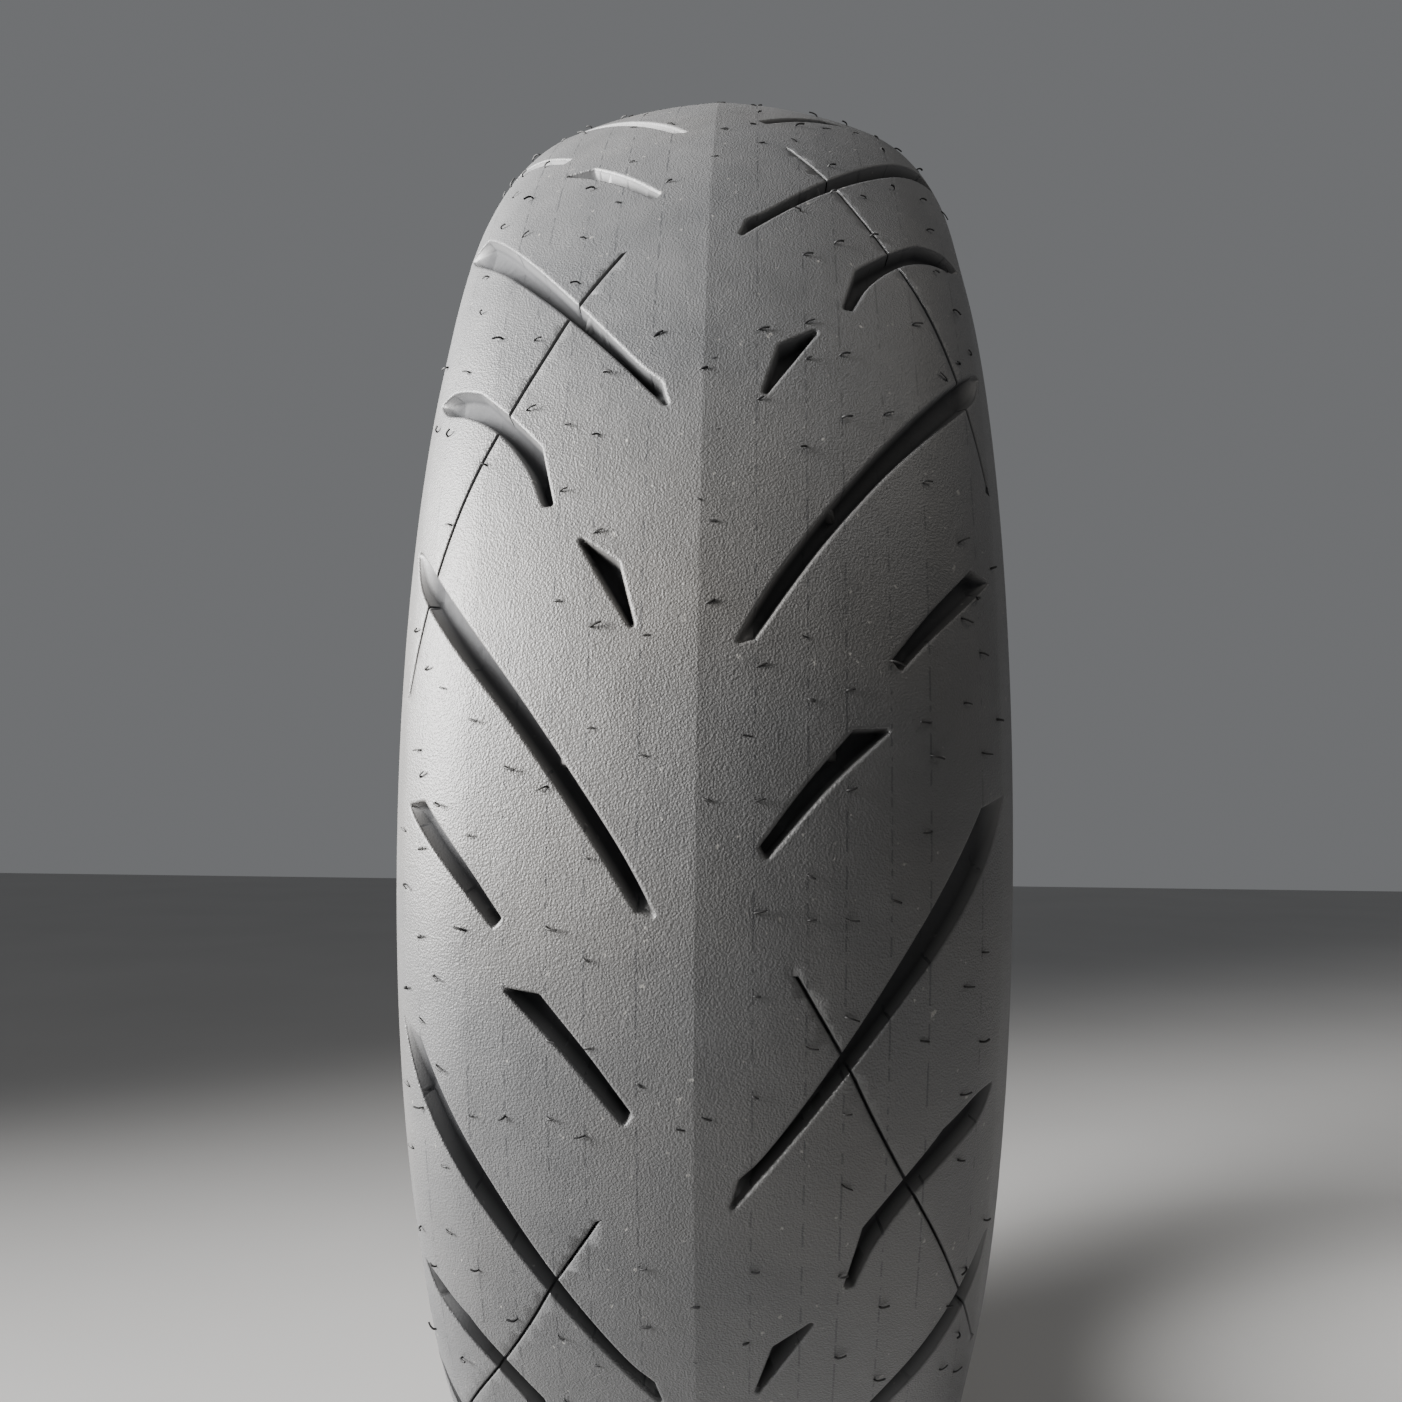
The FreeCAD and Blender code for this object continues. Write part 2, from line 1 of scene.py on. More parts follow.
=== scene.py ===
# %% [markdown]
# # A rear motorcycle tire
#
# The tire stands on the floor with its tread towards us. What is seen of a tire is rubber and nothing
# else, so its looks rest on three things: the moulded tread with its grooves and thin sipes, the
# little rubber hairs that the mould's vents leave behind, and a rubber finish that is pebbled on the
# land and smooth in the grooves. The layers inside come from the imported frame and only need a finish.

# %% Load the frame
import json
import math
import bpy
import numpy as np
from mathutils import Matrix, Vector, geometry


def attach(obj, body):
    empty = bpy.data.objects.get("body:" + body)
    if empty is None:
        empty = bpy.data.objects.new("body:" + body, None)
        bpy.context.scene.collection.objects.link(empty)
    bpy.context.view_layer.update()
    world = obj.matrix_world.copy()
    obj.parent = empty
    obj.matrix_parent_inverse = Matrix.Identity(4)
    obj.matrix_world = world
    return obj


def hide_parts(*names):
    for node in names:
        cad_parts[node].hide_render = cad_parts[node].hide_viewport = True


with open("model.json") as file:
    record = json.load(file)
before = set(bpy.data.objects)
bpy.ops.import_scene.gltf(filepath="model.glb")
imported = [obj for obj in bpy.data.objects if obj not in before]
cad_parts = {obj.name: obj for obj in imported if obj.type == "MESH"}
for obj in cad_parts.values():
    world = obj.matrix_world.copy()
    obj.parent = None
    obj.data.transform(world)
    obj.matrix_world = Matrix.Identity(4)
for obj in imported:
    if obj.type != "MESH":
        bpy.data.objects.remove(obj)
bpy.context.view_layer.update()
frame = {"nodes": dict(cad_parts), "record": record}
MM = 0.001

# %% [markdown]
# ## The section that the tread follows
#
# A motorcycle tire leans, so its tread is round from side to side. The mould is turned from two arcs
# that meet smoothly: a flat one over the crown and a tight one over each shoulder. A point of the
# tread is written as (s, t): s millimetres across from the centre line, measured along the section,
# and t millimetres along the circumference. Flat (s, t) drawings are then easy to lay on the tire.

# %% Two tangent arcs
SEAT_RADIUS = frame["record"]["mounts"][0]["dims"]["r_mm"]
CROWN_RADIUS = SEAT_RADIUS + 99.1
WIDEST_RADIUS = SEAT_RADIUS + 45.0
HALF_WIDTH = 88.5
CROWN_GAUGE = 8.1
SIDE_GAUGE = 3.0
UNDERSIDE_LIFT = 1.1
CROWN_LEAN = math.radians(20.0)
EDGE_LEAN = math.radians(80.0)
SPLIT_LEAN = math.radians(11.5)
REPEATS = 7
PERIOD = 2 * math.pi * CROWN_RADIUS / REPEATS


def two_arcs(crown, half_width, widest):
    """The radii and centres of a crown arc and a shoulder arc that ends square to the spin axis."""
    sin, cos = math.sin(CROWN_LEAN), math.cos(CROWN_LEAN)
    drop = crown - widest
    small = (drop * sin - half_width * (1 - cos)) / (cos * sin - (1 - sin) * (1 - cos))
    big = (half_width - small * (1 - sin)) / sin
    return {"big": big, "small": small, "side": half_width - small,
            "middle": crown - big, "widest": widest}


TREAD = two_arcs(CROWN_RADIUS, HALF_WIDTH, WIDEST_RADIUS)
UNDERSIDE = two_arcs(CROWN_RADIUS - CROWN_GAUGE, HALF_WIDTH - SIDE_GAUGE, WIDEST_RADIUS + UNDERSIDE_LIFT)
CROWN_RUN = TREAD["big"] * CROWN_LEAN
EDGE_RUN = CROWN_RUN + TREAD["small"] * (EDGE_LEAN - CROWN_LEAN)
SPLIT_RUN = TREAD["big"] * SPLIT_LEAN
print("tread is", round(2 * EDGE_RUN, 1), "mm from edge to edge along its surface")

# %% From the flat drawing to the tire
def lean_at(s):
    """How far the surface leans over at s, in radians from straight out."""
    run = np.abs(s)
    return np.where(run < CROWN_RUN, run / TREAD["big"], CROWN_LEAN + (run - CROWN_RUN) / TREAD["small"])


def on_tire(s, t, lift=0.0, arcs=TREAD):
    """Points in metres: s across, t along, and lifted off the surface by that many millimetres."""
    lean, turn = lean_at(s), np.asarray(t) / CROWN_RADIUS
    crown = lean < CROWN_LEAN
    reach = np.where(crown, arcs["big"], arcs["small"]) + lift
    across = (np.where(crown, 0.0, arcs["side"]) + reach * np.sin(lean)) * np.sign(s)
    out = np.where(crown, arcs["middle"], arcs["widest"]) + reach * np.cos(lean)
    return np.stack([out * np.cos(turn), across, out * np.sin(turn)], axis=-1) * MM


# %% [markdown]
# ## The groove pattern
#
# Each side of the tread carries the same six grooves and one sipe, seven times round. Every groove is
# a closed loop of a few edges. An edge is a smooth curve through its points, and two edges meet in a
# corner, as in the maker's drawing. The right half is the mirror image of the left half, turned back
# by a few degrees so that the grooves don't reach the road in pairs.

# %% Outlines of one repeat
LEFT_START = math.radians(-19.2) * CROWN_RADIUS
RIGHT_START = math.radians(-31.7) * CROWN_RADIUS
GROOVES = {
    "long with sipe": [
        [(10, 0), (20, 12.5), (40, 37.2), (60, 62.5), (80, 88.9), (89.5, 106.7)],
        [(89.5, 106.7), (79, 103.1)],
        [(79, 103.1), (60, 73.5), (40, 43.3), (20, 15.5), (12, 7)],
        [(12, 7), (10, 0)],
    ],
    "long": [
        [(10.6, 145.5), (22.2, 165.2), (44.4, 196.5), (66.7, 225), (85.6, 247.6), (89.8, 250.4)],
        [(89.8, 250.4), (84.4, 237.2), (70, 219.6), (50, 196.5), (33.3, 175), (22.2, 159.1),
         (13.9, 146.5)],
        [(13.9, 146.5), (10.6, 145.5)],
    ],
    "inner hook": [
        [(17, 218.5), (21.4, 235)],
        [(21.4, 235), (31, 242)],
        [(31, 242), (24.8, 231.2), (17, 218.5)],
    ],
    "shoulder hook": [
        [(40.5, 254.2), (45, 272.2)],
        [(45, 272.2), (55.6, 284.7), (67, 297.2)],
        [(67, 297.2), (77.8, 303.2), (86, 304.7)],
        [(86, 304.7), (80, 297.2), (69, 290.2), (57.8, 280.7), (47.8, 267.2), (42, 254.2)],
        [(42, 254.2), (40.5, 254.2)],
    ],
    "inner wedge": [
        [(48.7, 123.4), (40.2, 122.8)],
        [(40.2, 122.8), (28, 108.7), (16.6, 93.6)],
        [(16.6, 93.6), (17.7, 91.6)],
        [(17.7, 91.6), (33.2, 109.1), (48.7, 123.4)],
    ],
    "shoulder wedge": [
        [(84.4, 171.1), (77, 171.9)],
        [(77, 171.9), (62.5, 156.6), (51.2, 142.4)],
        [(51.2, 142.4), (52.8, 140.6)],
        [(52.8, 140.6), (64.7, 153.1), (84.4, 171.1)],
    ],
}
SIPE = [(25.5, 61.2), (38, 39), (45.5, 23), (56, 1.6), (64.5, -15.5), (71.5, -31.5), (80.5, -55), (88, -77)]


def curve_through(points, spacing):
    """Evenly spaced points of a smooth curve through a few points (Catmull-Rom)."""
    p = np.array(points, float)
    p = np.vstack([2 * p[0] - p[1], p, 2 * p[-1] - p[-2]])
    made = []
    for a, b, c, d in zip(p, p[1:], p[2:], p[3:]):
        steps = max(1, round(np.linalg.norm(c - b) / spacing))
        for x in np.arange(steps) / steps:
            made.append(b + 0.5 * x * (c - a + x * (2 * a - 5 * b + 4 * c - d + x * (3 * (b - c) + d - a))))
    return np.array(made + [p[-2]])


def placed(points, side, turns):
    """The same drawing on the left (side 1) or right (side -1), moved on by whole repeats."""
    start = LEFT_START if side > 0 else RIGHT_START
    return np.column_stack([side * points[:, 0], points[:, 1] + start - LEFT_START + turns * PERIOD])


OUTLINE_SPACING = 1.1
SIPE_SPACING = 2.5
drawn = {name: np.vstack([curve_through(edge, OUTLINE_SPACING)[:-1] for edge in edges])
         for name, edges in GROOVES.items()}
sipe_line = curve_through(SIPE, SIPE_SPACING)
print({name: len(loop) for name, loop in drawn.items()}, "points in each outline")

# %% [markdown]
# ## A height for every point
#
# The shape of the tread is a height over the flat drawing. Far from any groove it is zero. Coming to a
# groove it rounds over a soft lip, drops down a steep drafted wall and runs out in a fillet to the
# floor. All of that depends on one number, the distance to the outline, so the helpers here measure
# distance: to a closed loop, with a sign that says inside or outside, and to an open line. Each WALK
# lists such distances in millimetres, and the DROP beside it says how far down the surface is there.
# The floor climbs again towards the tread's edge and towards a long groove's inner tip.

# %% Distances
BATCH = 4000


def to_segments(points, a, b):
    """The shortest distance from each point to a set of segments."""
    best = np.full(len(points), np.inf)
    run = b - a
    size = np.maximum((run ** 2).sum(1), 1e-12)
    for start in range(0, len(points), BATCH):
        gap = points[start:start + BATCH, None] - a
        share = np.clip((gap * run).sum(2) / size, 0, 1)
        best[start:start + BATCH] = np.sqrt(((gap - share[..., None] * run) ** 2).sum(2).min(1))
    return best


def to_loop(points, loop):
    """Distance to a closed loop, negative inside it."""
    a, b = loop, np.roll(loop, -1, axis=0)
    far = to_segments(points, a, b)
    s, t = points[:, 0, None], points[:, 1, None]
    spans = (a[:, 1] > t) != (b[:, 1] > t)
    rise = np.where(b[:, 1] == a[:, 1], 1.0, b[:, 1] - a[:, 1])
    crossings = (spans & (s < a[:, 0] + (t - a[:, 1]) * (b[:, 0] - a[:, 0]) / rise)).sum(1)
    return np.where(crossings % 2 == 1, -far, far)


def near(points, shape, margin, measure, clear):
    """measure(points, shape) where a point is within margin of the shape's box, and clear elsewhere."""
    found = np.full(len(points), float(clear))
    inside = ((points > shape.min(0) - margin) & (points < shape.max(0) + margin)).all(1)
    if inside.any():
        found[inside] = measure(points[inside], shape)
    return found


# %% Groove, sipe and mould-line heights
GROOVE_WALK = (-1.3, -0.1, 0.55, 0.9, 1.35, 1.8)
GROOVE_DROP = (1.0, 0.85, 0.12, 0.02, 0.0, 0.0)
GROOVE_DEPTH, EDGE_DEPTH = 6.2, 2.8
SIPE_WALK = (0.24, 0.4, 0.7)
SIPE_DROP = (2.3, 0.14, 0.0)
MOULD_CIRCLES = (14.5, 28.0, 38.0, 50.0, 61.0, 79.0)
MOULD_LINE = 0.45
REACH, CLEAR = 3.0, 9.0
CREST_RISE, CREST_FADE, CREST_LAND = 1.1, 20.0, 0.3
EDGE_RAMP = ((79.0, 88.0), (1.0, 0.3))
TIP_RAMP = ((1.0, 7.0), (0.3, 1.0))
INNER_TIPS = np.array([(11.0, 2.0), (11.5, 146.0)])


def groove_depth(s):
    """Full depth of a groove: deepest at the crown, shallow at the tread's edge."""
    return GROOVE_DEPTH + (EDGE_DEPTH - GROOVE_DEPTH) * np.clip(np.abs(s) / EDGE_RUN, 0, 1) ** 2


def side_shapes():
    """Every loop and sipe line that can touch one repeat of the tread, on both sides."""
    loops, sipes = [], []
    for side in (1, -1):
        for turns in (-1, 0, 1):
            loops += [placed(loop, side, turns) for loop in drawn.values()]
            sipes.append(placed(sipe_line, side, turns))
    return loops, sipes


loops, sipes = side_shapes()
tips = np.vstack([placed(INNER_TIPS, side, turns) for side in (1, -1) for turns in (-1, 0, 1)])


def open_line(points, line):
    """Distance to an open line."""
    return to_segments(points, line[:-1], line[1:])


def distances(points):
    """Signed distance to the nearest groove and distance to the nearest sipe."""
    groove = np.min([near(points, loop, REACH, to_loop, CLEAR) for loop in loops], axis=0)
    sipe = np.min([near(points, line, REACH, open_line, CLEAR) for line in sipes], axis=0)
    return groove, sipe


def ramp(points):
    """How much of a groove's depth is left: its floor climbs towards the tread's edge and its inner tip."""
    to_tip = np.min([np.hypot(*(points - tip).T) for tip in tips], axis=0)
    return np.interp(np.abs(points[:, 0]), *EDGE_RAMP) * np.interp(to_tip, *TIP_RAMP)


def height_over(points):
    """(height in millimetres, how far down a groove from 0 to 1, mould line from 0 to 1)."""
    groove, sipe = distances(points)
    s = points[:, 0]
    down = np.interp(groove, GROOVE_WALK, GROOVE_DROP) * ramp(points)
    drop = np.maximum(down * groove_depth(s), np.interp(sipe, SIPE_WALK, SIPE_DROP))
    circle = np.min([np.abs(np.abs(s) - c) for c in MOULD_CIRCLES], axis=0)
    line = np.clip(1 - circle / MOULD_LINE, 0, 1)
    crest = CREST_RISE * np.exp(-np.abs(s) / CREST_FADE)
    land = np.clip(1 - drop / CREST_LAND, 0, 1)
    deep = np.maximum(down, np.interp(sipe, SIPE_WALK, (1, 0.4, 0)))
    return crest * land - drop, deep, line


# %% [markdown]
# ## Meshing one repeat
#
# A grid fine enough to show a crisp groove lip would be far too heavy. Instead the flat drawing is
# triangulated with the outlines, and lines that keep a set distance from them, as fixed edges: the
# mesh is then fine exactly where the surface bends, and coarse on the land. A line at a set distance
# is found by walking the cells of a sampled distance field. Where two fixed edges cross, as a sipe
# and a groove do, the triangulation adds the crossing by itself.

# %% Lines at a set distance from an outline
FIELD_STEP = 0.5


def level_loops(loop, levels):
    """Closed lines that keep each of those distances from a loop, as lists of points."""
    reach = max(levels) + 2 * FIELD_STEP
    low, high = loop.min(0) - reach, loop.max(0) + reach
    xs, ys = np.arange(low[0], high[0], FIELD_STEP), np.arange(low[1], high[1], FIELD_STEP)
    grid = np.stack(np.meshgrid(xs, ys, indexing="ij"), -1)
    field = to_loop(grid.reshape(-1, 2), loop).reshape(len(xs), len(ys))
    return [line for level in levels for line in walk_cells(field - level, xs, ys)]


def walk_cells(field, xs, ys):
    """The zero lines of a sampled field. A crossing is named by its grid edge: (i, j, along i, along j)."""
    above = field > 0
    total = above[:-1, :-1].astype(int) + above[1:, :-1] + above[:-1, 1:] + above[1:, 1:]
    links = {}
    for i, j in np.argwhere((total > 0) & (total < 4)).tolist():
        ring = ((i, j, 1, 0), (i + 1, j, 0, 1), (i, j + 1, 1, 0), (i, j, 0, 1))
        cut = [e for e in ring if above[e[0], e[1]] != above[e[0] + e[2], e[1] + e[3]]]
        for a, b in zip(cut[::2], cut[1::2]):
            links.setdefault(a, []).append(b)
            links.setdefault(b, []).append(a)

    def place(edge):
        i, j, di, dj = edge
        a, b = field[i, j], field[i + di, j + dj]
        share = a / (a - b)
        return xs[i] + share * di * FIELD_STEP, ys[j] + share * dj * FIELD_STEP

    lines = []
    while links:
        current = next(iter(links))
        walked = []
        while current is not None:
            walked.append(place(current))
            following = [e for e in links.pop(current) if e in links]
            current = following[0] if following else None
        lines.append(thinned(np.array(walked)))
    return [line for line in lines if len(line) > 3]


def thinned(line, longest=1.3, shortest=0.4, bend=0.25):
    """The line with fewer points: none is dropped where it bends or where the gap would grow too long."""
    kept = [line[0]]
    for here, after in zip(line[1:], line[2:]):
        first, second = here - kept[-1], after - here
        turn = abs(math.atan2(first[0] * second[1] - first[1] * second[0], first @ second))
        if np.linalg.norm(first) > longest or (turn > bend and np.linalg.norm(first) > shortest):
            kept.append(here)
    return np.array(kept)


# %% Fixed edges of the drawing
class Drawing:
    """Points and fixed edges gathered for one triangulation."""

    def __init__(self):
        self.points, self.edges = [], []

    def add_line(self, line, closed=False):
        """A chain of fixed edges, closed into a ring or left open."""
        first = len(self.points)
        self.points += [tuple(p) for p in line]
        last = len(self.points) - 1
        self.edges += [(i, i + 1) for i in range(first, last)]
        if closed:
            self.edges.append((last, first))

    def add_points(self, points):
        """Free points, with no edge."""
        self.points += [tuple(p) for p in points]

    def triangles(self):
        """(points, triangles) after every crossing of fixed edges has been made a point."""
        coords = [Vector(p) for p in self.points]
        made = geometry.delaunay_2d_cdt(coords, self.edges, [], 0, 1e-5, False)
        return np.array([tuple(v) for v in made[0]]), np.array([tuple(f) for f in made[2]])


def sipe_borders(line):
    """Closed lines round a sipe at each of its set distances."""
    run = np.gradient(line, axis=0)
    side = np.column_stack([-run[:, 1], run[:, 0]]) / np.linalg.norm(run, axis=1)[:, None]
    return [np.vstack([line + side * d, (line - side * d)[::-1]]) for d in SIPE_WALK]


ROWS = 92
COLUMN_STEP = 3.0
UNDER_ROWS, UNDER_STEP = 48, 6.0
GROOVE_GAP, SIPE_GAP, LINE_GAP, EDGE_GAP = 0.8, 1.4, 0.9, 1.0
PARTING_LINE = 0.35
row_t = np.arange(ROWS + 1) * PERIOD / ROWS
columns = np.arange(31) * COLUMN_STEP


def tread_drawing():
    """All the fixed edges and land points of one repeat, both sides, from edge to edge."""
    drawing = Drawing()
    levels = {name: level_loops(loop, GROOVE_WALK) for name, loop in drawn.items()}
    for side in (1, -1):
        for turns in (-1, 0, 1):
            for line in sum(levels.values(), []) + sipe_borders(sipe_line):
                ring = placed(line, side, turns)
                if ring[:, 1].max() > 0 and ring[:, 1].min() < PERIOD:
                    drawing.add_line(ring, closed=True)
    for s in mould_columns():
        drawing.add_line(np.column_stack([np.full(ROWS + 1, s), row_t]))
    for t in (0.0, PERIOD):
        drawing.add_line([(-EDGE_RUN, t), (EDGE_RUN, t)])
    inner = columns[columns < EDGE_RUN - EDGE_GAP]
    land = np.array([(side * s, t) for side in (1, -1) for s in inner for t in row_t])
    groove, sipe = distances(land)
    free = np.min([np.abs(groove - d) for d in GROOVE_WALK], axis=0)
    lines = np.min([np.abs(land[:, 0] - s) for s in mould_columns()], axis=0)
    drawing.add_points(land[(free > GROOVE_GAP) & (sipe > SIPE_GAP) & (lines > LINE_GAP)])
    return drawing


def mould_columns():
    """Places across the tread where a straight fixed edge runs round the tire."""
    fixed = [0.0, PARTING_LINE, SPLIT_RUN, EDGE_RUN]
    fixed += [c + d for c in MOULD_CIRCLES for d in (-MOULD_LINE, 0.0, MOULD_LINE)]
    return sorted({side * s for side in (1, -1) for s in fixed})


points, faces = tread_drawing().triangles()
corner = points[faces]
middle = corner.mean(1)
kept = (middle[:, 1] > 0) & (middle[:, 1] < PERIOD) & (np.abs(middle[:, 0]) < EDGE_RUN)
area = np.cross(corner[:, 1] - corner[:, 0], corner[:, 2] - corner[:, 0])
kept &= np.abs(area) > 1e-7
faces, middle = np.where((area < 0)[:, None], faces[:, ::-1], faces)[kept], middle[kept]
heights, downs, mould_lines = height_over(points)
print(len(points), "points and", len(faces), "triangles in one repeat")

# %% [markdown]
# ## The repeat as a closed piece
#
# The centre strip and the two shoulders are different rubber, so each is its own piece. A piece is
# closed: its outer skin is joined by walls to an underside, where it sits on the layers below.

# %% Cutting one repeat into the three strips
def strip_segment(name, low, high):
    """A mesh of one repeat between two places across the tread, closed except at its two ends."""
    inside = (middle[:, 0] > low) & (middle[:, 0] < high)
    used, inverse = np.unique(faces[inside], return_inverse=True)
    skin = inverse.reshape(-1, 3)
    s, t = points[used].T
    verts = [on_tire(s, t + LEFT_START, heights[used])]
    tris = [tuple(f) for f in skin.tolist()]
    borders = []
    for border, outward in ((low, -1), (high, 1)):
        chain = np.flatnonzero(np.abs(s - border) < 1e-4)
        chain = chain[np.argsort(t[chain])]
        borders.append((border, t[chain]))
        base = sum(len(v) for v in verts)
        verts.append(on_tire(np.full(len(chain), border), t[chain] + LEFT_START, 0.0, UNDERSIDE))
        for i in range(len(chain) - 1):
            quad = (chain[i], chain[i + 1], base + i + 1, base + i)
            tris.append(tuple(int(v) for v in (quad if outward < 0 else quad[::-1])))
    drawing = Drawing()
    for border, ts in borders:
        drawing.add_line(np.column_stack([np.full(len(ts), border), ts]))
    between = np.linspace(low, high, 2 + int((high - low) / UNDER_STEP))
    rows = np.linspace(0.0, PERIOD, UNDER_ROWS)
    drawing.add_points([(a, b) for a in between[1:-1] for b in rows])
    under, under_faces = drawing.triangles()
    base = sum(len(v) for v in verts)
    verts.append(on_tire(under[:, 0], under[:, 1] + LEFT_START, 0.0, UNDERSIDE))
    a, b, c = under[under_faces].transpose(1, 0, 2)
    flip = np.cross(b - a, c - a) > 0
    tris += [tuple(int(base + v) for v in (f[::-1] if turned else f)) for f, turned in zip(under_faces, flip)]
    mesh = bpy.data.meshes.new(name)
    mesh.from_pydata(np.vstack(verts).tolist(), [], tris)
    extra = sum(len(v) for v in verts) - len(used)
    for label, values in (("groove", downs), ("mould_line", mould_lines)):
        layer = mesh.attributes.new(label, "FLOAT", "POINT")
        layer.data.foreach_set("value", np.concatenate([values[used], np.zeros(extra)]).astype(np.float32))
    return mesh


segments = {
    "tread_cap_centre": strip_segment("centre repeat", -SPLIT_RUN, SPLIT_RUN),
    "tread_cap_left": strip_segment("left repeat", SPLIT_RUN, EDGE_RUN),
    "tread_cap_right": strip_segment("right repeat", -EDGE_RUN, -SPLIT_RUN),
}
print({name: len(mesh.polygons) for name, mesh in segments.items()}, "faces")

# %% [markdown]
# ## A short way to build node trees
#
# Both shader trees and geometry trees are nodes joined by links. `Graph.add` makes any node: its
# settings are set first, then its inputs, each given a number, a colour or another node's output. An
# output comes back as a `Wire`, and Wires can stand in ordinary sums, each of which adds a Math node.

# %% Wires and graphs
class Wire:
    """A node's output that can be used in a sum."""

    def __init__(self, graph, socket):
        self.graph, self.socket = graph, socket

    def __add__(self, other):
        return self.graph.math("ADD", self, other)

    __radd__ = __add__

    def __sub__(self, other):
        return self.graph.math("SUBTRACT", self, other)

    def __rsub__(self, other):
        return self.graph.math("SUBTRACT", other, self)

    def __mul__(self, other):
        return self.graph.math("MULTIPLY", self, other)

    __rmul__ = __mul__

    def __truediv__(self, other):
        return self.graph.math("DIVIDE", self, other)

    def __gt__(self, other):
        return self.graph.math("GREATER_THAN", self, other)


class Graph:
    """A node tree with one method that adds any node."""

    def __init__(self, tree):
        self.tree = tree

    def add(self, kind, settings=None, inputs=None, output=0):
        """A new node with its settings and inputs, as the Wire of one of its outputs."""
        node = self.tree.nodes.new(kind)
        for name, value in (settings or {}).items():
            setattr(node, name, value)
        for name, value in (inputs or {}).items():
            if isinstance(value, Wire):
                self.tree.links.new(value.socket, node.inputs[name])
            else:
                node.inputs[name].default_value = value
        return Wire(self, node.outputs[output]) if node.outputs else node

    def math(self, operation, a, b=0.0):
        return self.add("ShaderNodeMath", {"operation": operation}, {0: a, 1: b})

    def mix(self, share, a, b):
        """Two colours mixed."""
        return self.add("ShaderNodeMix", {"data_type": "RGBA"}, {0: share, 6: a, 7: b}, output=2)

    def fade(self, value, low, high, top=1.0):
        """0 where the value is below low, climbing to top where it reaches high."""
        return self.add("ShaderNodeMapRange", None, {0: value, 1: low, 2: high, 4: top})

    def noise(self, place, scale, detail=2.0, rough=0.5):
        """Noise that stays fixed to the piece."""
        sizes = {"Vector": place, "Scale": scale, "Detail": detail, "Roughness": rough}
        return self.add("ShaderNodeTexNoise", None, sizes)

    def object_place(self):
        """The piece's own coordinates."""
        return self.add("ShaderNodeTexCoord", None, None, "Object")


# %% [markdown]
# ## Repeats round the axle
#
# The pattern repeats seven times, and other things on a tire repeat too. One Geometry Nodes tree
# does it for all of them: it puts copies of a mesh on points at the wheel centre, each turned a
# little further about the spin axis, makes them real, and welds the edges that meet.

# %% The repeat tree
def input_socket(tree, name, kind, default=None):
    """A new input of a Geometry Nodes tree. Returns the identifier that a modifier sets it by."""
    socket = tree.interface.new_socket(name=name, in_out="INPUT", socket_type=kind)
    if default is not None:
        socket.default_value = default
    return socket.identifier


def repeat_tree():
    """A tree that copies a mesh round the spin axis. Returns the tree and its inputs' identifiers."""
    tree = bpy.data.node_groups.new("repeat round the axle", "GeometryNodeTree")
    names = {
        "Geometry": input_socket(tree, "Geometry", "NodeSocketGeometry"),
        "Count": input_socket(tree, "Count", "NodeSocketInt", REPEATS),
        "Weld": input_socket(tree, "Weld", "NodeSocketFloat", 3e-6),
        "Material": input_socket(tree, "Material", "NodeSocketMaterial"),
    }
    tree.interface.new_socket(name="Geometry", in_out="OUTPUT", socket_type="NodeSocketGeometry")
    graph = Graph(tree)
    source = tree.nodes.new("NodeGroupInput")
    shape, count, weld, finish = (Wire(graph, source.outputs[i]) for i in range(4))
    spots = graph.add("GeometryNodePoints", None, {"Count": count})
    turn = graph.add("GeometryNodeInputIndex") * (-2 * math.pi) / count
    angles = graph.add("ShaderNodeCombineXYZ", None, {"Y": turn})
    rotation = graph.add("FunctionNodeEulerToRotation", None, {0: angles})
    copies = graph.add("GeometryNodeInstanceOnPoints", None,
                       {"Points": spots, "Instance": shape, "Rotation": rotation})
    real = graph.add("GeometryNodeRealizeInstances", None, {0: copies})
    welded = graph.add("GeometryNodeMergeByDistance", None, {"Geometry": real, "Distance": weld})
    done = graph.add("GeometryNodeSetMaterial", None, {"Geometry": welded, "Material": finish})
    graph.add("NodeGroupOutput", None, {0: done})
    return tree, names


REPEAT_TREE, REPEAT_INPUTS = repeat_tree()


def grown(name, mesh, tree, identifiers, values):
    """The plain mesh object that a Geometry Nodes tree makes from a mesh."""
    seed = bpy.data.objects.new(name + " seed", mesh)
    bpy.context.scene.collection.objects.link(seed)
    modifier = seed.modifiers.new("grow", "NODES")
    modifier.node_group = tree
    for key, value in values.items():
        modifier[identifiers[key]] = value
    seen = seed.evaluated_get(bpy.context.evaluated_depsgraph_get())
    made = bpy.data.meshes.new_from_object(seen)
    bpy.data.objects.remove(seed)
    piece = bpy.data.objects.new(name, made)
    made.name = name
    bpy.context.scene.collection.objects.link(piece)
    return piece


# %% [markdown]
# ## Rubber
#
# Cured rubber is nearly black and a little glossy, and looks grey because its fine grain spreads the
# light. The tread's grey is also painted lighter than cured rubber is, as painted light, and the
# sidewall's darker, as painted shade against the key light. The grain here is a bump from cells about
# half a millimetre across, broken up by noise, and it fades out inside the grooves, which are dull and
# painted nearly black there as shade. Handling leaves faint brown patches, pale flecks lie on the land,
# and the mould's circles show as dashed dark lines.

# %% The tread finish
PALE_FLECK, DULL_FLECK = (0.30, 0.29, 0.27, 1), (0.06, 0.06, 0.06, 1)


def principled(name, constants):
    """A new material with a Principled shader, its graph and the shader node."""
    material = bpy.data.materials.new(name)
    material.use_nodes = True
    tree = material.node_tree
    tree.nodes.clear()
    shader = tree.nodes.new("ShaderNodeBsdfPrincipled")
    output = tree.nodes.new("ShaderNodeOutputMaterial")
    tree.links.new(shader.outputs[0], output.inputs[0])
    for socket, value in constants.items():
        shader.inputs[socket].default_value = value
    return material, Graph(tree), shader


